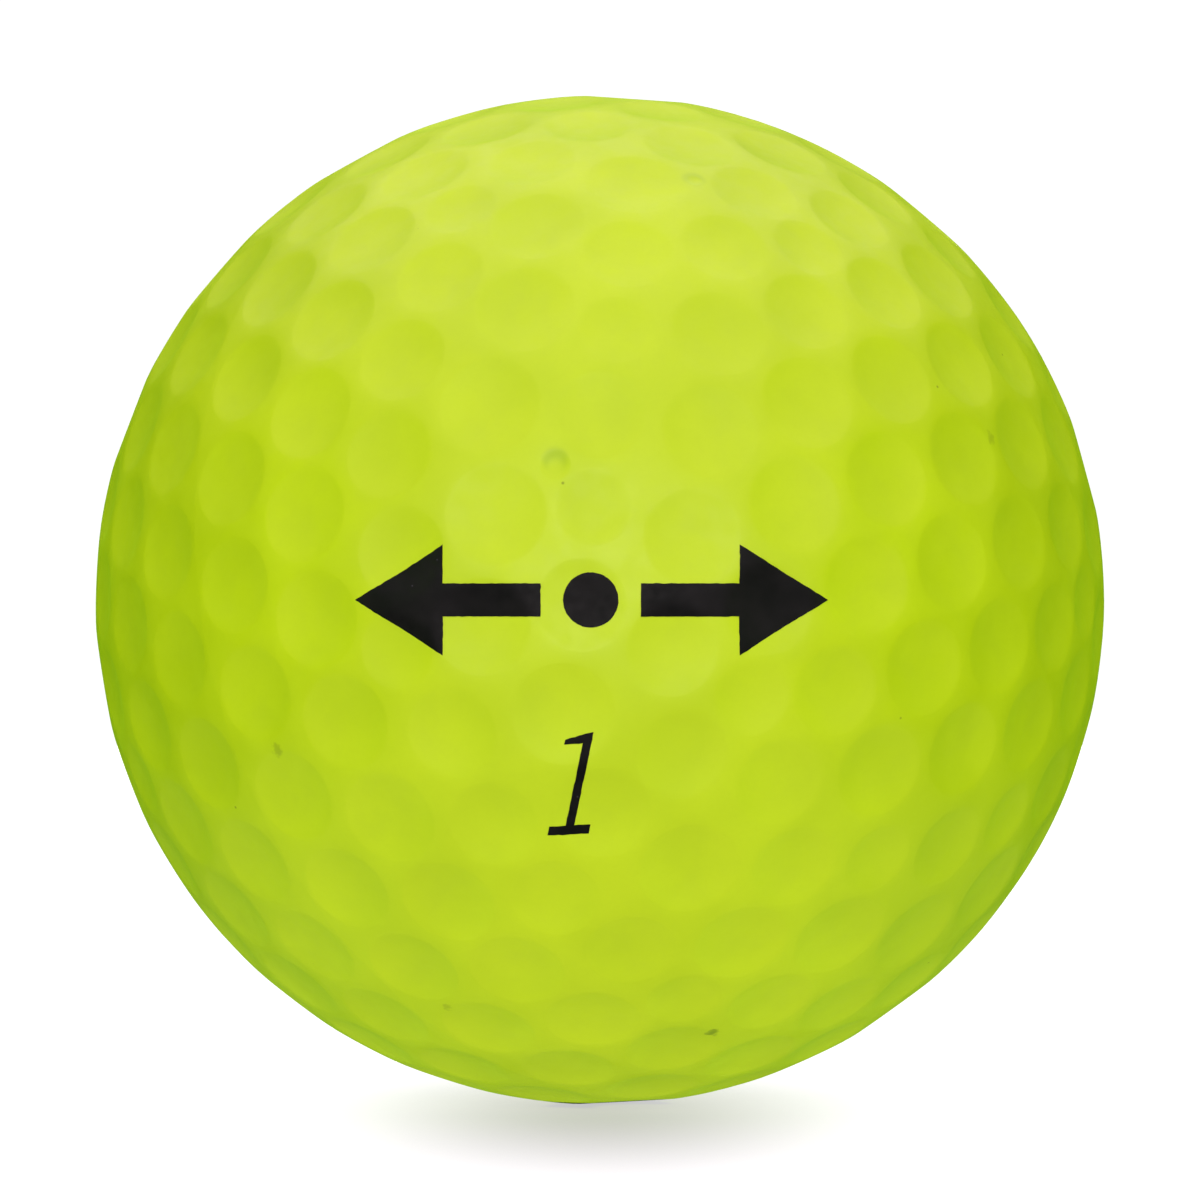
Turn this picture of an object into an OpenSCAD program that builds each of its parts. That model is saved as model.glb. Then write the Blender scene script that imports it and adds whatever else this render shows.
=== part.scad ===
// Golf ball: a rubber core, two mantle cups, two dimpled cover shells and the printed marks.
// The origin is the centre of the ball, +Z is up and the front print faces -Y.

/* [Ball] */
// Outside diameter of the finished ball
ball_d = 42.67; // [42.67:0.01:43.5]
// Thickness of the cover
cover_t = 1.7; // [1.2:0.1:2.4]
// Thickness of the mantle between the core and the cover
mantle_t = 1.5; // [0.8:0.1:3]

/* [Dimples] */
// Opening of the smallest dimples
small_d = 3.1; // [2.6:0.05:3.2]
// Opening of the medium dimples
medium_d = 3.7; // [3.2:0.05:3.8]
// Opening of the regular dimples, which fill most of the surface
regular_d = 3.95; // [3.5:0.05:4]
// Opening of the largest dimples
large_d = 4.15; // [3.6:0.05:4.25]
// Depth of a regular dimple below the full sphere
dimple_depth = 0.24; // [0.18:0.01:0.3]

/* [Mould] */
// Compass direction of the mould's pole, measured from +X towards +Y
pole_azimuth = -49.5; // [-180:0.5:180]
// Height of the mould's pole above the horizon
pole_elevation = 11; // [-90:0.5:90]
// Turn of the dimple pattern about the mould's pole
pattern_spin = -48.5; // [-180:0.5:180]
// Turn of the far shell's pattern against the near one, which staggers the rows at the seam
shell_stagger = 6; // [6:12:54]

/* [Print] */
// Thickness of the printed ink
ink_t = 0.04; // [0.03:0.01:0.08]
// Length of the alignment mark
mark_length = 18.8; // [14:0.2:22]
// Width of the alignment mark's arrow heads
mark_width = 4.4; // [3:0.2:5]
// Height of the play number
number_h = 4.1; // [3:0.1:5]
// Distance of the play number's middle below the alignment mark's
number_drop = 7.3; // [6:0.1:9]
// Offset of the play number to the side
number_shift = -0.5; // [-3:0.1:3]
// Lean of the play number
number_lean = 12; // [0:1:20]
// Turn of the print about the vertical
print_turn = -1; // [-10:0.5:10]

/* [Hidden] */

ball_r = ball_d / 2;
cover_in_r = ball_r - cover_t;
core_r = cover_in_r - mantle_t;
past = 1;
rim_margin = 0.05;

cover_colour = [0.77, 0.88, 0.22];
mantle_colour = [0.93, 0.93, 0.88];
core_colour = [0.20, 0.42, 0.66];
ink_colour = [0.06, 0.06, 0.07];

// One mould half has three equal sectors, and each mirrors about its own middle line.
// A ring is [latitude, degrees off the middle line, opening of its dimples].
sector_angle = 120;
cap_rings = [
    [83, 60, regular_d],
    [76, 0, regular_d],
    [71.5, 41, regular_d],
    [65, 14.5, medium_d],
    [62, 60, regular_d],
    [59.5, 36, regular_d],
    [58, 0, small_d],
    [53.5, 16.5, medium_d],
    [50, 60, medium_d],
    [49.5, 44, small_d],
    [48.4, 0, medium_d],
    [46.2, 29, medium_d],
    [40, 15, large_d],
    [39, 44.5, large_d],
    [37.7, 0, regular_d],
    [38, 60, large_d],
    [35.3, 30, regular_d],
    [28, 18.5, medium_d],
    [28, 41.5, medium_d],
    [27, 6.2, medium_d],
    [27, 53.8, medium_d],
    [25.3, 30, small_d]
];

// The two belts nearest the seam are even rows: [latitude, first dimple's angle, opening].
belt_count = 30;
belts = [
    [16.5, 0, regular_d],
    [5.75, belt_count / 5, regular_d]
];

// A ring on a sector's middle line or edge has one dimple a sector, and any other has a mirrored pair.
function ring_sides(offset) = (offset == 0 || offset == sector_angle / 2) ? [1] : [-1, 1];

cap_dimples = [
    for (ring = cap_rings)
        for (sector = [0 : sector_angle : 359])
            for (side = ring_sides(ring[1]))
                [ring[0], sector + side * ring[1], ring[2]]
];
belt_dimples = [
    for (belt = belts)
        for (step = [0 : belt_count - 1])
            [belt[0], belt[1] + step * 360 / belt_count, belt[2]]
];
near_dimples = concat(cap_dimples, belt_dimples);

// Small pits left by the mould on the near half: [latitude, angle, opening].
// Their walls are steeper than the dimples' walls.
pits = [[45.6, -51.2, 1.2], [44, -112.5, 0.6]];
pit_angle = 22;

far_dimples = [for (d = near_dimples) [-d[0], d[1] + shell_stagger, d[2]]];
all_dimples = concat(near_dimples, far_dimples);

// Every dimple is a spherical cap with the same angle at its rim.
// The edge angle follows from the regular dimple's depth.
function sagitta(opening, r) = r - sqrt(r * r - opening * opening / 4);
function half_angle(opening, r) = asin(opening / 2 / r);
cap_angle = 2 * atan((dimple_depth - sagitta(regular_d, ball_r)) / (regular_d / 2));
function cutter_r(opening, angle) = opening / 2 / sin(angle);
function cutter_distance(opening, angle) =
    ball_r * cos(half_angle(opening, ball_r)) + cutter_r(opening, angle) * cos(angle);

function direction(d) = [cos(d[0]) * cos(d[1]), cos(d[0]) * sin(d[1]), sin(d[0])];

// A direction on the ball, seen in the mould's frame.
function turn_y(v, a) = [v[0] * cos(a) + v[2] * sin(a), v[1], v[2] * cos(a) - v[0] * sin(a)];
function turn_z(v, a) = [v[0] * cos(a) - v[1] * sin(a), v[0] * sin(a) + v[1] * cos(a), v[2]];
function to_mould(v) =
    turn_z(turn_y(turn_z(v, -pole_azimuth), pole_elevation - 90), -pattern_spin);

// Degrees round a print's middle within which dimples can meet its ink.
dimple_reach = 2 * half_angle(large_d, ball_r);
mark_reach = asin(mark_length / ball_d) + dimple_reach;
number_reach = 2 * asin(number_h / ball_d) + dimple_reach;

// The mould's frame, in which the seam is the equator and the pole is +Z.
module mould_frame() {
    rotate([0, 90 - pole_elevation, pole_azimuth])
        rotate([0, 0, pattern_spin])
            children();
}

// The round-nosed plugs that press the hollows in, a coat's thickness further out.
// A plug is trimmed just outside its hollow's rim, so that it stays clear of its neighbours.
module cutters(hollows, coat = 0, angle = cap_angle) {
    for (d = hollows)
        rotate([0, -d[0], d[1]])
            intersection() {
                translate([cutter_distance(d[2], angle), 0, 0])
                    sphere(r = cutter_r(d[2], angle) - coat, $fn = 160);
                translate([ball_r - past, 0, 0])
                    rotate([0, 90, 0])
                        cylinder(h = 2 * past, r = d[2] / 2 + rim_margin, $fn = 48);
            }
}

// Half of space above the plane through the ball's centre, as a wide drum.
module upper_half() {
    cylinder(h = ball_r + past, r = ball_r + past, $fn = 96);
}

// Half of a hollow ball, open side down.
module half_shell(outer_r, inner_r) {
    difference() {
        intersection() {
            sphere(r = outer_r, $fn = 240);
            upper_half();
        }
        sphere(r = inner_r, $fn = 240);
    }
}

module core() {
    color(core_colour)
        sphere(r = core_r, $fn = 200);
}

// The mantle's joint stands square to the cover's seam.
module mantle_a() {
    color(mantle_colour)
        mould_frame()
            rotate([0, 90, 0])
                half_shell(cover_in_r, core_r);
}

module mantle_b() {
    color(mantle_colour)
        mould_frame()
            rotate([0, -90, 0])
                half_shell(cover_in_r, core_r);
}

// The shell at the mould's pole.
module cover_a() {
    color(cover_colour)
        mould_frame()
            difference() {
                half_shell(ball_r, cover_in_r);
                cutters(near_dimples);
                cutters(pits, 0, pit_angle);
            }
}

// The shell on the far side of the seam.
module cover_b() {
    color(cover_colour)
        mould_frame()
            difference() {
                rotate([180, 0, 0])
                    half_shell(ball_r, cover_in_r);
                cutters(far_dimples);
            }
}

// Alignment mark: two arrows that point away from a dot.
module mark_outline() {
    head_l = mark_width * 0.8;
    shaft_w = mark_width * 0.3;
    dot_r = mark_width * 0.25;
    shaft_start = dot_r + mark_width * 0.2;
    head_start = mark_length / 2 - head_l;
    circle(r = dot_r, $fn = 64);
    for (side = [0, 180])
        rotate(side)
            polygon([
                [shaft_start, -shaft_w / 2],
                [head_start, -shaft_w / 2],
                [head_start, -mark_width / 2],
                [mark_length / 2, 0],
                [head_start, mark_width / 2],
                [head_start, shaft_w / 2],
                [shaft_start, shaft_w / 2]
            ]);
}

// Play number: a leaning 1 with a foot, its middle at the origin.
module number_outline() {
    function lean(x, y) = number_h * [x + (y - 0.5) * tan(number_lean), y - 0.5];
    stem = 0.042;
    foot_w = 0.2;
    foot_h = 0.085;
    flag_x = -0.22;
    polygon([
        lean(-foot_w, 0),
        lean(foot_w, 0),
        lean(foot_w, foot_h),
        lean(stem, foot_h),
        lean(stem, 1),
        lean(0, 0.99),
        lean(flag_x, 0.92),
        lean(flag_x, 0.875),
        lean(-stem, 0.89),
        lean(-stem, foot_h),
        lean(-foot_w, foot_h)
    ]);
}

// A full ball with the given dimples, grown on all sides by a coat.
module dimpled_ball(dimples, coat) {
    difference() {
        sphere(r = ball_r + coat, $fn = 240);
        cutters(dimples, coat);
    }
}

// Ink that follows the dimpled surface inside an outline.
// The outline is drawn as it reads on the front of the ball, and turned about the vertical.
// Only the dimples near its middle are cut.
module ink_film(turn, drop, reach) {
    height = asin(-drop / ball_r);
    middle = [cos(height) * sin(turn), -cos(height) * cos(turn), sin(height)];
    dimples = [for (d = all_dimples) if (direction(d) * to_mould(middle) > cos(reach)) d];
    color(ink_colour)
        difference() {
            intersection() {
                rotate([90, 0, turn])
                    linear_extrude(height = ball_r + past)
                        translate([0, -drop])
                            children();
                mould_frame()
                    dimpled_ball(dimples, ink_t);
            }
            mould_frame()
                dimpled_ball(dimples, 0);
        }
}

module mark_front() {
    ink_film(print_turn, 0, mark_reach) mark_outline();
}

module number_front() {
    ink_film(print_turn, number_drop, number_reach)
        translate([number_shift, 0])
            number_outline();
}

// The far side carries the same print.
module mark_back() {
    ink_film(print_turn + 180, 0, mark_reach) mark_outline();
}

module number_back() {
    ink_film(print_turn + 180, number_drop, number_reach)
        translate([number_shift, 0])
            number_outline();
}

core();
mantle_a();
mantle_b();
cover_a();
cover_b();
mark_front();
number_front();
mark_back();
number_back();
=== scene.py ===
import math

import bpy
import numpy as np
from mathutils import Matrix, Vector
from mathutils.geometry import delaunay_2d_cdt


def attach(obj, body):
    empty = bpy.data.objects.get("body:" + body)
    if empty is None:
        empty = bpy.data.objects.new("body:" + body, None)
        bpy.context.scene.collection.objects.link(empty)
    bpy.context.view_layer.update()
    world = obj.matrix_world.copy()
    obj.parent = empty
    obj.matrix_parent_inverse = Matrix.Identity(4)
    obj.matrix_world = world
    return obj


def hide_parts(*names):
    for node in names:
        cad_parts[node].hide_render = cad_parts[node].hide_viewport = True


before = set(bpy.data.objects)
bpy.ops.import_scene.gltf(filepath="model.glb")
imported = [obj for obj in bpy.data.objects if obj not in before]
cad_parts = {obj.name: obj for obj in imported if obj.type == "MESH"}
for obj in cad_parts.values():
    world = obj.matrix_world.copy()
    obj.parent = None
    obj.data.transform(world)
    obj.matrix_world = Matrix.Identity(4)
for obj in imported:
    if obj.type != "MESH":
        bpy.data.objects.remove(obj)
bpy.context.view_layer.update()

# The ball's sizes in millimetres and degrees, as in the CAD model. The ball's centre is the origin.
MM = 0.001
BALL_R = 42.67 / 2
COVER_T = 1.7
COVER_IN_R = BALL_R - COVER_T
SMALL, MEDIUM, REGULAR, LARGE = 3.1, 3.7, 3.95, 4.15
DIMPLE_DEPTH = 0.24
POLE_AZIMUTH = -49.5
POLE_ELEVATION = 11
PATTERN_SPIN = -48.5
SHELL_STAGGER = 6
MARK_LENGTH = 18.8
MARK_WIDTH = 4.4
NUMBER_H = 4.1
NUMBER_DROP = 7.3
NUMBER_SHIFT = -0.5
NUMBER_LEAN = 12
PRINT_TURN = -1

# The dimples of one mould half. It has three equal sectors that mirror about their middle lines.
# A ring is latitude, degrees off the middle line, and the opening of its dimples.
SECTORS = (0, 120, 240)
SECTOR_EDGE = 60
CAP_RINGS = (
    (83, 60, REGULAR),
    (76, 0, REGULAR),
    (71.5, 41, REGULAR),
    (65, 14.5, MEDIUM),
    (62, 60, REGULAR),
    (59.5, 36, REGULAR),
    (58, 0, SMALL),
    (53.5, 16.5, MEDIUM),
    (50, 60, MEDIUM),
    (49.5, 44, SMALL),
    (48.4, 0, MEDIUM),
    (46.2, 29, MEDIUM),
    (40, 15, LARGE),
    (39, 44.5, LARGE),
    (37.7, 0, REGULAR),
    (38, 60, LARGE),
    (35.3, 30, REGULAR),
    (28, 18.5, MEDIUM),
    (28, 41.5, MEDIUM),
    (27, 6.2, MEDIUM),
    (27, 53.8, MEDIUM),
    (25.3, 30, SMALL),
)
# The two even rows nearest the seam: latitude, the first dimple's angle, and the opening.
BELTS = ((16.5, 0, REGULAR), (5.75, 6, REGULAR))
BELT_COUNT = 30

# Small pits left by the mould on the near half: latitude, angle and opening. Their walls are steeper.
PITS = ((45.6, -51.2, 1.2), (44, -112.5, 0.6))
PIT_ANGLE = math.radians(22)

# How the pressed surface is meshed. A rim is rounded off within its softness of the full sphere,
# and every hollow has rings of points at fractions of its opening, widened by a margin.
RIM_SOFTNESS = 0.05
RING_MARGIN = 0.05
RING_SEGMENTS = 44
RING_FRACTIONS = (1, 0.955, 0.91, 0.86, 0.8, 0.73, 0.64, 0.52, 0.38, 0.2)
LAND_STEP = 0.36
SEAM_SEGMENTS = 360
INNER_RINGS = 12
NEAR_COSINE = 0.9
CHUNK = 8192
WELD = 1e-9


def directions(lat, lon):
    """Unit vectors at latitudes and longitudes given in degrees."""
    lat = np.radians(lat)
    lon = np.radians(lon)
    return np.stack((np.cos(lat) * np.cos(lon), np.cos(lat) * np.sin(lon), np.sin(lat)), axis=-1)


def turn_y(degrees):
    c = math.cos(math.radians(degrees))
    s = math.sin(math.radians(degrees))
    return np.array(((c, 0, s), (0, 1, 0), (-s, 0, c)))


def turn_z(degrees):
    c = math.cos(math.radians(degrees))
    s = math.sin(math.radians(degrees))
    return np.array(((c, -s, 0), (s, c, 0), (0, 0, 1)))


# Columns are the mould's axes in the ball's frame: the pole is the third.
MOULD = turn_z(POLE_AZIMUTH) @ turn_y(90 - POLE_ELEVATION) @ turn_z(PATTERN_SPIN)


def near_half():
    """Latitude, longitude and opening of each dimple of the half at the pole."""
    rows = []
    for lat, offset, opening in CAP_RINGS:
        sides = (1,) if offset in (0, SECTOR_EDGE) else (-1, 1)
        for sector in SECTORS:
            for side in sides:
                rows.append((lat, sector + side * offset, opening))
    for lat, first, opening in BELTS:
        for step in range(BELT_COUNT):
            rows.append((lat, first + step * 360 / BELT_COUNT, opening))
    return rows


NEAR = near_half()
FAR = [(-lat, lon + SHELL_STAGGER, opening) for lat, lon, opening in NEAR]
HOLLOWS = np.array(NEAR + FAR + list(PITS))
CENTRES = directions(HOLLOWS[:, 0], HOLLOWS[:, 1])
OPENINGS = HOLLOWS[:, 2]

# Every hollow is a spherical cap, and all dimples have the same angle at the rim.
REGULAR_SAGITTA = BALL_R - math.sqrt(BALL_R**2 - REGULAR**2 / 4)
CAP_ANGLE = np.full(len(HOLLOWS), 2 * math.atan((DIMPLE_DEPTH - REGULAR_SAGITTA) / (REGULAR / 2)))
CAP_ANGLE[-len(PITS):] = PIT_ANGLE
CAP_R = OPENINGS / 2 / np.sin(CAP_ANGLE)
CAP_DISTANCE = np.sqrt(BALL_R**2 - OPENINGS**2 / 4) + CAP_R * np.cos(CAP_ANGLE)


def surface_radius(dirs):
    """Distance from the centre to the dimpled surface, with the rims softened."""
    out = np.empty(len(dirs))
    for start in range(0, len(dirs), CHUNK):
        part = dirs[start:start + CHUNK]
        cosine = np.clip(part @ CENTRES.T, -1, 1)
        under = CAP_R**2 - CAP_DISTANCE**2 * (1 - cosine**2)
        hit = (under > 0) & (cosine > NEAR_COSINE)
        cap = CAP_DISTANCE * cosine - np.sqrt(np.where(hit, under, 0))
        gap = np.where(hit, cap - BALL_R, 1.0)
        blend = np.clip(RIM_SOFTNESS - np.abs(gap), 0, None) / RIM_SOFTNESS
        drop = np.minimum(gap, 0) - blend**2 * RIM_SOFTNESS / 4
        out[start:start + CHUNK] = BALL_R + drop.sum(axis=1)
    return out


def tangents(centre):
    """Two unit vectors square to a direction and to each other."""
    east = np.cross((0.0, 0.0, 1.0), centre)
    if np.linalg.norm(east) < 1e-6:
        east = np.array((1.0, 0.0, 0.0))
    east = east / np.linalg.norm(east)
    return east, np.cross(centre, east)


def ring_directions(centre, angle, count):
    """Unit vectors on a circle at an angle in radians from a centre."""
    east, north = tangents(centre)
    turn = np.linspace(0, 2 * math.pi, count, endpoint=False)[:, None]
    around = np.cos(turn) * east + np.sin(turn) * north
    return math.cos(angle) * centre + math.sin(angle) * around


def spiral_directions(step):
    """Evenly spread unit vectors, about a step in millimetres apart on the ball."""
    count = int(4 * math.pi * BALL_R**2 / step**2)
    index = np.arange(count) + 0.5
    z = 1 - 2 * index / count
    turn = index * math.pi * (1 + math.sqrt(5))
    flat = np.sqrt(1 - z**2)
    return np.stack((flat * np.cos(turn), flat * np.sin(turn), z), axis=-1)


def new_mesh(name, verts, faces, crease=30.0):
    """A mesh object from points in millimetres, smooth except at edges past an angle in degrees."""
    mesh = bpy.data.meshes.new(name)
    mesh.from_pydata([tuple(v) for v in np.asarray(verts) * MM], [], faces)
    mesh.set_sharp_from_angle(angle=math.radians(crease))
    mesh.update()
    obj = bpy.data.objects.new(name, mesh)
    bpy.context.scene.collection.objects.link(obj)
    return obj


def cover_half(name, side):
    """One closed cover shell. Side is 1 at the mould's pole and -1 beyond the seam."""
    mirror = np.array((1, 1, side))
    mine = np.flatnonzero(CENTRES[:, 2] * side > 0)
    rims = []
    dirs = []
    faces = []
    for k in mine:
        centre = CENTRES[k]
        rim_angle = math.asin((OPENINGS[k] / 2 + RING_MARGIN) / BALL_R)
        base = len(dirs)
        for fraction in RING_FRACTIONS:
            dirs.extend(ring_directions(centre, rim_angle * fraction, RING_SEGMENTS))
        dirs.append(centre)
        rims.append((base, centre, rim_angle))
        tip = base + len(RING_FRACTIONS) * RING_SEGMENTS
        for ring in range(len(RING_FRACTIONS)):
            outer = base + ring * RING_SEGMENTS
            inner = outer + RING_SEGMENTS
            for i in range(RING_SEGMENTS):
                j = (i + 1) % RING_SEGMENTS
                if inner == tip:
                    faces.append((outer + i, outer + j, tip))
                else:
                    faces.append((outer + i, outer + j, inner + j, inner + i))

    # The land between the rims: its own points, the rims' points and the seam's points.
    seam_base = len(dirs)
    dirs.extend(directions(np.zeros(SEAM_SEGMENTS), np.arange(SEAM_SEGMENTS) * 360 / SEAM_SEGMENTS))
    spread = spiral_directions(LAND_STEP)
    spread = spread[spread[:, 2] * side > LAND_STEP / 2 / BALL_R]
    rim_angles = np.array([r[2] for r in rims])
    away = np.arccos(np.clip(spread @ CENTRES[mine].T, -1, 1)) - rim_angles
    spread = spread[away.min(axis=1) > LAND_STEP / 2 / BALL_R]
    land_base = len(dirs)
    dirs.extend(spread)
    dirs = np.array(dirs)

    keys = [base + i for base, _, _ in rims for i in range(RING_SEGMENTS)]
    keys += range(seam_base, len(dirs))
    place = {key: n for n, key in enumerate(keys)}
    flat = dirs[keys] * mirror
    flat = flat[:, :2] / (1 + flat[:, 2:])
    loops = [[base + i for i in range(RING_SEGMENTS)] for base, _, _ in rims]
    loops.append(list(range(seam_base, land_base)))
    edges = []
    for loop in loops:
        edges += [(place[a], place[b]) for a, b in zip(loop, loop[1:] + loop[:1])]
    made = delaunay_2d_cdt([Vector(p) for p in flat], edges, [], 0, WELD)
    owner = np.full(len(dirs), -1)
    for base, _, _ in rims:
        owner[base:base + RING_SEGMENTS] = base
    back = [keys[ids[0]] for ids in made[3]]
    for face in made[2]:
        face = [back[v] for v in face]
        owners = {int(owner[v]) for v in face}
        if len(owners) > 1 or -1 in owners:
            faces.append(tuple(face if side > 0 else face[::-1]))

    # The inner face, and the ring of seam that joins it to the outer one.
    verts = dirs * surface_radius(dirs)[:, None]
    inner = []
    for ring in range(INNER_RINGS):
        lat = 90 * ring / INNER_RINGS * side
        lon = np.arange(SEAM_SEGMENTS) * 360 / SEAM_SEGMENTS
        inner.append(directions(np.full(SEAM_SEGMENTS, lat), lon))
    inner.append(directions(np.array([90.0 * side]), np.array([0.0])))
    inner_base = len(verts)
    verts = np.vstack((verts, np.vstack(inner) * COVER_IN_R))
    top = len(verts) - 1
    rows = [seam_base] + [inner_base + r * SEAM_SEGMENTS for r in range(INNER_RINGS)]
    for low, high in zip(rows, rows[1:] + [None]):
        for i in range(SEAM_SEGMENTS):
            j = (i + 1) % SEAM_SEGMENTS
            face = (low + j, low + i, top) if high is None else (low + j, low + i, high + i, high + j)
            faces.append(face if side > 0 else face[::-1])
    return new_mesh(name, verts @ MOULD.T, faces)


cover_near = cover_half("cover_shell_near", 1)
cover_far = cover_half("cover_shell_far", -1)


# The print: outlines in millimetres as they read on the front of the ball. The ink is half as thick
# as the CAD film and thinner still at its edge, and its underside is sunk into the cover.
INK_T = 0.02
INK_EDGE = 0.5
INK_SUNK = 0.03
INK_STEP = 0.15
INK_CLEAR = 0.6
INK_RAGGED = 0.006
DOT_SEGMENTS = 64


def mark_outlines():
    """Two arrows that point away from a dot."""
    head = MARK_LENGTH / 2 - MARK_WIDTH * 0.8
    shaft = MARK_WIDTH * 0.3 / 2
    dot = MARK_WIDTH * 0.25
    start = dot + MARK_WIDTH * 0.2
    half = MARK_WIDTH / 2
    arrow = (
        (start, -shaft), (head, -shaft), (head, -half), (MARK_LENGTH / 2, 0),
        (head, half), (head, shaft), (start, shaft),
    )
    turn = np.linspace(0, 2 * math.pi, DOT_SEGMENTS, endpoint=False)
    circle = np.stack((np.cos(turn), np.sin(turn)), axis=-1) * dot
    return [np.array(arrow), -np.array(arrow), circle]


def number_outlines():
    """A leaning 1 with a foot, set below the mark."""
    stem, foot_w, foot_h, flag = 0.042, 0.2, 0.085, 0.22
    upright = np.array((
        (-foot_w, 0), (foot_w, 0), (foot_w, foot_h), (stem, foot_h), (stem, 1), (0, 0.99),
        (-flag, 0.92), (-flag, 0.875), (-stem, 0.89), (-stem, foot_h), (-foot_w, foot_h),
    ))
    rise = upright[:, 1] - 0.5
    across = upright[:, 0] + rise * math.tan(math.radians(NUMBER_LEAN))
    return [np.stack((NUMBER_SHIFT + NUMBER_H * across, NUMBER_H * rise - NUMBER_DROP), axis=-1)]


def ragged(corners, rng):
    """The closed outline in short steps, its edge slightly uneven as pad-printed ink is."""
    points = []
    for a, b in zip(corners, np.roll(corners, -1, axis=0)):
        steps = max(1, round(float(np.linalg.norm(b - a)) / INK_STEP))
        points += [a + (b - a) * i / steps for i in range(steps)]
    points = np.array(points)
    along = np.roll(points, -1, axis=0) - np.roll(points, 1, axis=0)
    outward = np.stack((along[:, 1], -along[:, 0]), axis=-1)
    outward /= np.linalg.norm(outward, axis=1)[:, None]
    return points + outward * rng.normal(0, INK_RAGGED, len(points))[:, None]


def inside(points, loop):
    """True for each point inside a closed outline."""
    hits = np.zeros(len(points), bool)
    for (ax, ay), (bx, by) in zip(loop, np.roll(loop, -1, axis=0)):
        spans = (ay > points[:, 1]) != (by > points[:, 1])
        if ay != by:
            hits ^= spans & (points[:, 0] < ax + (points[:, 1] - ay) * (bx - ax) / (by - ay))
    return hits


def ink_film(name, outlines, turn, seed):
    """A closed film of ink over the dimpled surface."""
    rng = np.random.default_rng(seed)
    loops = [ragged(corners, rng) for corners in outlines]
    flat = np.vstack(loops)
    starts = np.cumsum([0] + [len(loop) for loop in loops])
    low, high = flat.min(axis=0), flat.max(axis=0)
    grid = np.stack(np.meshgrid(*[np.arange(a, b, INK_STEP) for a, b in zip(low, high)]), axis=-1)
    grid = grid.reshape(-1, 2)
    clear = np.linalg.norm(grid[:, None] - flat[None], axis=-1).min(axis=1) > INK_STEP * INK_CLEAR
    grid = grid[clear & np.any([inside(grid, loop) for loop in loops], axis=0)]
    rims = [list(range(a, b)) for a, b in zip(starts, starts[1:])]
    made = delaunay_2d_cdt([Vector(p) for p in np.vstack((flat, grid))], [], rims, 1, WELD)
    flat = np.array([tuple(p) for p in made[0]])
    depth = -np.sqrt(BALL_R**2 - (flat**2).sum(axis=1))
    dirs = np.stack((flat[:, 0], depth, flat[:, 1]), axis=-1) / BALL_R @ turn_z(turn).T
    radius = surface_radius(dirs @ MOULD)

    sides = {}
    for face in made[2]:
        for a, b in zip(face, face[1:] + face[:1]):
            if sides.pop((b, a), None) is None:
                sides[(a, b)] = True
    edge = {v for pair in sides for v in pair}
    lift = np.array([INK_T * (INK_EDGE if v in edge else 1) for v in range(len(dirs))])
    count = len(dirs)
    verts = np.vstack((dirs * (radius + lift)[:, None], dirs * (radius - INK_SUNK)[:, None]))
    faces = [tuple(face) for face in made[2]]
    faces += [tuple(v + count for v in reversed(face)) for face in made[2]]
    faces += [(b, a, a + count, b + count) for a, b in sides]
    return new_mesh(name, verts, faces)


ink_pieces = {
    "mark_front": ink_film("ink_mark_front", mark_outlines(), PRINT_TURN, 1),
    "number_front": ink_film("ink_number_front", number_outlines(), PRINT_TURN, 2),
    "mark_back": ink_film("ink_mark_back", mark_outlines(), PRINT_TURN + 180, 3),
    "number_back": ink_film("ink_number_back", number_outlines(), PRINT_TURN + 180, 4),
}


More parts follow.
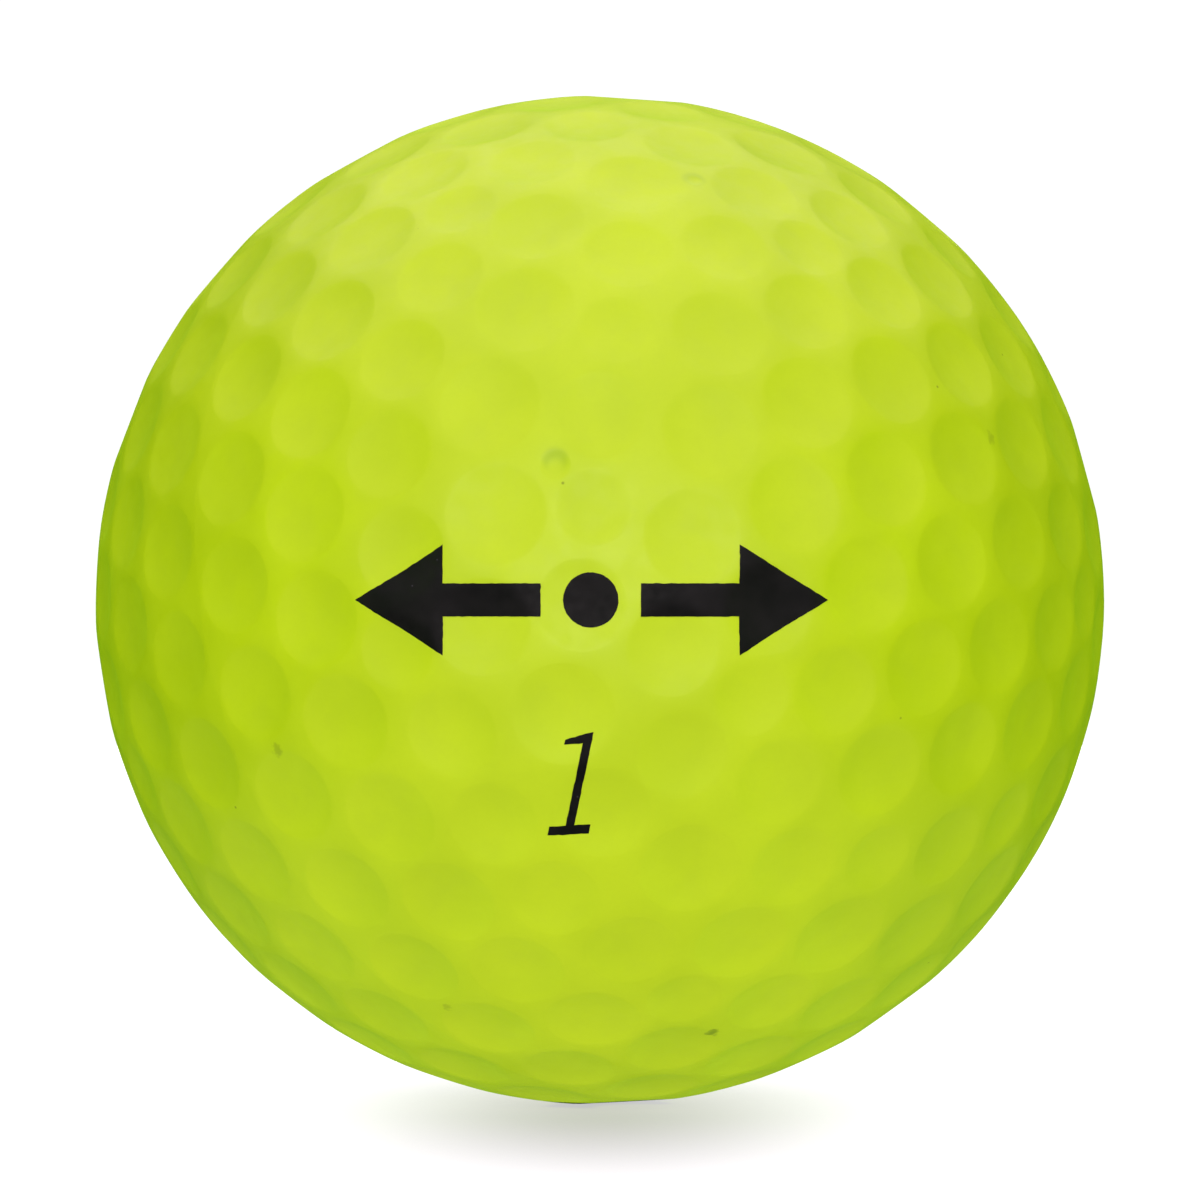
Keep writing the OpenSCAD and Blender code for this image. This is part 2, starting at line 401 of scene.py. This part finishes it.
class Surface:
    """A Principled material, and short ways to wire nodes into it. Lengths in it are millimetres."""

    def __init__(self, name, **uniform):
        self.material = bpy.data.materials.new(name)
        self.material.use_nodes = True
        self.tree = self.material.node_tree
        self.shader = self.tree.nodes["Principled BSDF"]
        for socket, value in uniform.items():
            self.shader.inputs[socket.replace("_", " ")].default_value = value
        place = self.node("ShaderNodeTexCoord").outputs["Object"]
        self.at = self.math3("SCALE", place, scale=1 / MM)

    def node(self, kind, settings=(), **inputs):
        made = self.tree.nodes.new(kind)
        for key, value in dict(settings).items():
            setattr(made, key, value)
        for socket, value in inputs.items():
            self.feed(made.inputs[socket.replace("_", " ")], value)
        return made

    def feed(self, socket, value):
        if isinstance(value, bpy.types.NodeSocket):
            self.tree.links.new(value, socket)
        else:
            socket.default_value = value

    def math(self, operation, a, b=0.0):
        made = self.node("ShaderNodeMath", {"operation": operation})
        self.feed(made.inputs[0], a)
        self.feed(made.inputs[1], b)
        return made.outputs[0]

    def math3(self, operation, a, b=None, scale=None):
        made = self.node("ShaderNodeVectorMath", {"operation": operation})
        self.feed(made.inputs[0], a)
        if b is not None:
            self.feed(made.inputs[1], b)
        if scale is not None:
            self.feed(made.inputs["Scale"], scale)
        return made.outputs["Value" if operation == "DISTANCE" else "Vector"]

    def noise(self, size, detail=2.0, roughness=0.5):
        """Noise from 0 to 1 whose features are about a size in millimetres."""
        made = self.node(
            "ShaderNodeTexNoise", Vector=self.at, Scale=1 / size, Detail=detail, Roughness=roughness
        )
        return made.outputs["Fac"]

    def ramp(self, value, low, high, to_low=0.0, to_high=1.0):
        """A smooth step from one result at a low value to another at a high value."""
        made = self.node("ShaderNodeMapRange", {"interpolation_type": "SMOOTHSTEP"})
        for socket, number in zip(made.inputs, (value, low, high, to_low, to_high)):
            self.feed(socket, number)
        return made.outputs["Result"]

    def mix(self, amount, a, b):
        """Colour a at amount 0, colour b at amount 1."""
        made = self.node("ShaderNodeMix", {"data_type": "RGBA"})
        for socket, value in ((made.inputs[0], amount), (made.inputs[6], a), (made.inputs[7], b)):
            self.feed(socket, value)
        return made.outputs[2]

    def specks(self, spacing, radius, share):
        """Round dots, one in a cell of a spacing, in only a share of the cells."""
        cells = self.node("ShaderNodeTexVoronoi", Vector=self.at, Scale=1 / spacing)
        dot = self.ramp(cells.outputs["Distance"], radius / spacing, radius / spacing * 0.4)
        chance = self.node("ShaderNodeSeparateColor", Color=cells.outputs["Color"])
        return self.math("MULTIPLY", dot, self.math("LESS_THAN", chance.outputs[0], share))

    def bump(self, height, microns):
        """Relief whose full height is in thousandths of a millimetre."""
        made = self.node("ShaderNodeBump", Height=height, Distance=microns * MM * MM, Strength=1.0)
        self.feed(self.shader.inputs["Normal"], made.outputs["Normal"])


# Colours of the cover, from light to dark, of the painted shade in its pits, and of what dirties it.
LIME_LIGHT = (0.54, 0.70, 0.006, 1)
LIME = (0.50, 0.66, 0.004, 1)
LIME_GRAIN = (0.40, 0.55, 0.01, 1)
LIME_SETTLED = (0.36, 0.47, 0.03, 1)
PIT_SHADE = (0.33, 0.50, 0.004, 1)
DIRT = (0.13, 0.20, 0.005, 1)
DUST = (0.12, 0.17, 0.01, 1)

# Dirt and blemishes on the front: place to the right and up, radius, and strength.
SPOTS = (
    ((4.6, -17.7), 0.35, 0.7),
    ((-6.2, -16.6), 0.3, 0.3),
    ((-13.0, -6.0), 0.35, 0.35),
    ((15.9, 6.6), 0.3, 0.3),
)

# Painted shade in each pit as a crescent on its upper wall: a disc above the pit's middle, less an
# unshaded disc below.
PIT_SHADE_RISE = 0.2
PIT_SHADE_RADIUS = 0.65
PIT_UNSHADED_DROP = 0.1
PIT_UNSHADED_RADIUS = 0.5


def cover_material():
    """Matte lime paint, a little duller in the hollows, with specks and spots, and painted shade as a
    crescent in each pit.
    """
    s = Surface(
        "matte_lime_cover",
        Specular_IOR_Level=0.4,
        Diffuse_Roughness=0.1,
        Sheen_Weight=0.3,
        Sheen_Roughness=0.5,
        Sheen_Tint=(0.4, 1.0, 0.0, 1),
    )
    hollow = s.node("ShaderNodeAttribute", {"attribute_name": "hollow"}).outputs["Fac"]
    blotch = s.noise(5.0, detail=3.0)
    colour = s.mix(s.ramp(blotch, 0.35, 0.65), LIME, LIME_LIGHT)
    grain = s.noise(0.18, detail=3.0)
    colour = s.mix(s.ramp(grain, 0.3, 0.8, 0.0, 0.06), colour, LIME_GRAIN)
    settled = s.math("MULTIPLY", hollow, s.ramp(s.noise(1.6, detail=4.0), 0.4, 0.75, 0.0, 0.10))
    colour = s.mix(settled, colour, LIME_SETTLED)
    dust = s.math("MAXIMUM", s.specks(1.5, 0.08, 0.14), s.specks(3.1, 0.12, 0.08))
    colour = s.mix(s.math("MULTIPLY", dust, 0.6), colour, DUST)
    for (x, z), radius, strength in SPOTS:
        y = -math.sqrt(BALL_R**2 - x * x - z * z)
        reach = s.math3("DISTANCE", s.at, (x, y, z))
        ragged_reach = s.math("ADD", reach, s.ramp(s.noise(0.25), 0.0, 1.0, -0.2, 0.2))
        spot = s.ramp(ragged_reach, radius, radius * 0.3, 0.0, strength)
        colour = s.mix(spot, colour, DIRT)
    # Painted shade: each pit's upper wall is darkened in a crescent.
    for centre in CENTRES[-len(PITS):]:
        x, y, z = MOULD @ centre * BALL_R
        reach = s.math3("DISTANCE", s.at, (x, y, z + PIT_SHADE_RISE))
        pit_shade = s.ramp(reach, PIT_SHADE_RADIUS, PIT_SHADE_RADIUS * 0.5, 0.0, 0.5)
        reach = s.math3("DISTANCE", s.at, (x, y, z - PIT_UNSHADED_DROP))
        pit_shade = s.math("MULTIPLY", pit_shade, s.ramp(reach, PIT_UNSHADED_RADIUS * 0.3, PIT_UNSHADED_RADIUS))
        colour = s.mix(pit_shade, colour, PIT_SHADE)
    s.feed(s.shader.inputs["Base Color"], colour)
    worn = s.ramp(hollow, 0.0, 0.25, -0.05, 0.0)
    rough = s.math("ADD", s.ramp(s.noise(0.7, detail=4.0), 0.3, 0.7, 0.5, 0.6), worn)
    s.feed(s.shader.inputs["Roughness"], s.math("ADD", rough, s.math("MULTIPLY", dust, 0.2)))
    relief = s.math("ADD", s.noise(0.9, detail=1.0), s.math("MULTIPLY", s.noise(0.12), 0.35))
    s.bump(relief, 2.5)
    return s.material


def ink_material():
    """Black ink with pale pinholes."""
    s = Surface("printed_ink", Specular_IOR_Level=0.1)
    patches = s.ramp(s.noise(1.2, detail=3.0), 0.3, 0.7)
    colour = s.mix(patches, (0.004, 0.004, 0.005, 1), (0.008, 0.007, 0.009, 1))
    pinholes = s.specks(0.5, 0.045, 0.25)
    colour = s.mix(s.math("MULTIPLY", pinholes, 0.5), colour, (0.09, 0.07, 0.11, 1))
    s.feed(s.shader.inputs["Base Color"], colour)
    s.feed(s.shader.inputs["Roughness"], s.ramp(s.noise(0.3, detail=3.0), 0.3, 0.7, 0.45, 0.6))
    s.bump(s.noise(0.1), 2.0)
    return s.material


def rubber_material(name, dark, light, filler):
    """Dull moulded rubber in two shades, with grains of filler."""
    s = Surface(name, Specular_IOR_Level=0.3)
    colour = s.mix(s.ramp(s.noise(4.0, detail=4.0), 0.35, 0.65), dark, light)
    colour = s.mix(s.math("MULTIPLY", s.specks(0.8, 0.12, 0.4), 0.5), colour, filler)
    s.feed(s.shader.inputs["Base Color"], colour)
    s.feed(s.shader.inputs["Roughness"], s.ramp(s.noise(0.5, detail=3.0), 0.3, 0.7, 0.7, 0.85))
    s.bump(s.noise(0.3, detail=3.0), 12.0)
    return s.material


def dress(obj, material):
    obj.data.materials.clear()
    obj.data.materials.append(material)


def mark_hollows(obj):
    """Stores how deep in a dimple each point lies, from 0 on the land to 1 at the bottom."""
    places = np.array([tuple(v.co) for v in obj.data.vertices]) / MM
    depth = (BALL_R - np.linalg.norm(places, axis=1)) / DIMPLE_DEPTH
    stored = obj.data.attributes.new("hollow", "FLOAT", "POINT")
    stored.data.foreach_set("value", np.clip(depth, 0, 1))


cover = cover_material()
for shell, node in ((cover_near, "cover_a"), (cover_far, "cover_b")):
    mark_hollows(shell)
    dress(shell, cover)
    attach(shell, "root")
    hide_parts(node)

ink = ink_material()
for node, film in ink_pieces.items():
    dress(film, ink)
    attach(film, "root")
    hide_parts(node)

mantle = rubber_material(
    "mantle_rubber",
    dark=(0.72, 0.72, 0.64, 1),
    light=(0.80, 0.80, 0.73, 1),
    filler=(0.6, 0.6, 0.55, 1),
)
core = rubber_material(
    "core_rubber",
    dark=(0.030, 0.12, 0.34, 1),
    light=(0.045, 0.16, 0.42, 1),
    filler=(0.02, 0.07, 0.2, 1),
)
dress(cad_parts["mantle_a"], mantle)
dress(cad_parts["mantle_b"], mantle)
dress(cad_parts["core"], core)


# The stage: a round white floor that curves up into a wall, in metres. It glows, less so in a painted
# shadow, a soft patch around and in front of the place where the ball stands. Its sizes are
# millimetres.
FLOOR_Z = -BALL_R * MM
STAGE_R = 1.5
STAGE_CURVE_R = 0.5
STAGE_CURVE_STEPS = 12
STAGE_H = 2.5
STAGE_SEGMENTS = 72
STAGE_GREYS = (0.18, 0.17, 0.18, 1), (0.20, 0.19, 0.20, 1)
GLOW_IN_SHADOW, GLOW_FAR = 0.5, 1.05
SHADOW_AHEAD = 10.0
SHADOW_ASIDE_REACH = 15.0
SHADOW_AHEAD_REACH = 48.0


def stage_bowl():
    """The floor and its wall in one surface, turned about the vertical."""
    profile = []
    for i in range(STAGE_CURVE_STEPS + 1):
        turn = math.pi / 2 * i / STAGE_CURVE_STEPS
        out = STAGE_CURVE_R * math.sin(turn)
        rise = STAGE_CURVE_R * (1 - math.cos(turn))
        profile.append((STAGE_R + out, rise))
    profile.append((STAGE_R + STAGE_CURVE_R, STAGE_H))
    verts = []
    for r, z in profile:
        for i in range(STAGE_SEGMENTS):
            turn = 2 * math.pi * i / STAGE_SEGMENTS
            verts.append((r * math.cos(turn), r * math.sin(turn), FLOOR_Z + z))
    faces = [tuple(range(STAGE_SEGMENTS))]
    for row in range(len(profile) - 1):
        for i in range(STAGE_SEGMENTS):
            a = row * STAGE_SEGMENTS + i
            b = row * STAGE_SEGMENTS + (i + 1) % STAGE_SEGMENTS
            faces.append((a, b, b + STAGE_SEGMENTS, a + STAGE_SEGMENTS))
    floor = new_mesh("stage_bowl", np.array(verts) / MM, faces)
    floor.visible_diffuse = False
    floor.visible_glossy = False
    s = Surface("stage_paper", Roughness=0.6, Specular_IOR_Level=0.0)
    s.feed(s.shader.inputs["Base Color"], s.mix(s.noise(40.0), *STAGE_GREYS))
    s.shader.inputs["Emission Color"].default_value = (1, 1, 1, 1)
    # Painted shadow: the glow is weaker in a soft patch under and ahead of the ball.
    squeeze = (1 / SHADOW_ASIDE_REACH, 1 / SHADOW_AHEAD_REACH, 0)
    middle = (0, -SHADOW_AHEAD / SHADOW_AHEAD_REACH, 0)
    reach = s.math3("DISTANCE", s.math3("MULTIPLY", s.at, squeeze), middle)
    s.feed(s.shader.inputs["Emission Strength"], s.ramp(reach, 0.0, 1.0, GLOW_IN_SHADOW, GLOW_FAR))
    dress(floor, s.material)


def softbox(name, place, size, power, colour, aim=(0, 0, 0)):
    """A square-cornered soft light that faces a point."""
    data = bpy.data.lights.new(name, "AREA")
    data.shape = "RECTANGLE"
    data.size, data.size_y = size
    data.energy = power
    data.color = colour
    lamp = bpy.data.objects.new(name, data)
    lamp.location = place
    lamp.rotation_euler = (Vector(aim) - Vector(place)).to_track_quat("-Z", "Y").to_euler()
    lamp.visible_camera = False
    bpy.context.scene.collection.objects.link(lamp)
    return lamp


stage_bowl()
softbox("light_top", (0, 0, 0.5), (1.0, 1.0), 4.5, (1.0, 0.77, 1.0))
softbox("light_back", (0, 0.3, 0.45), (0.6, 0.4), 0.4, (1.0, 0.85, 1.0))
rear = softbox("light_rear", (0, 0.75, 0.0), (0.25, 0.25), 2.6, (0.85, 1.0, 0.75))
rear.visible_glossy = False
softbox("light_front", (0, -0.75, 0.1), (0.4, 0.4), 2.2, (1.0, 0.96, 0.85))
softbox("light_front_wide", (0, -0.7, 0.15), (1.2, 0.3), 2.6, (1.0, 0.82, 1.0))
softbox("light_left", (-0.8, -0.3, 0.2), (0.4, 0.5), 1.9, (0.40, 1.0, 0.0))
softbox("light_right", (0.8, -0.3, 0.2), (0.4, 0.5), 1.9, (0.40, 1.0, 0.0))

# The floor's bounce onto the ball's underside, hidden from reflections.
bounce_place = (0, -0.02, FLOOR_Z + 0.1 * MM)
bounce = softbox("light_bounce", bounce_place, (0.08, 0.12), 0.023, (1.0, 1.0, 0.75), (0, -0.02, 1))
bounce.visible_glossy = False
bpy.context.scene.view_settings.view_transform = "Standard"

# The camera: level with the ball's centre, with a long lens. The sine is that of the angle from
# the ball's centre to its outline, and the share is the ball's radius over the picture's height.
BALL_SINE = 0.07
BALL_SHARE = 0.4204
CAMERA_DISTANCE = BALL_R / BALL_SINE * MM
CAMERA_ASIDE = -0.18 * MM
FILM = 36.0
half_view = math.tan(math.asin(BALL_SINE)) / BALL_SHARE / 2
camera_data = bpy.data.cameras.new("camera")
camera_data.sensor_width = FILM
camera_data.lens = FILM / 2 / half_view
camera_data.clip_start = 0.01
camera = bpy.data.objects.new("camera", camera_data)
camera.location = (CAMERA_ASIDE, -CAMERA_DISTANCE, 0)
camera.rotation_euler = (math.pi / 2, 0, 0)
bpy.context.scene.collection.objects.link(camera)
bpy.context.scene.camera = camera
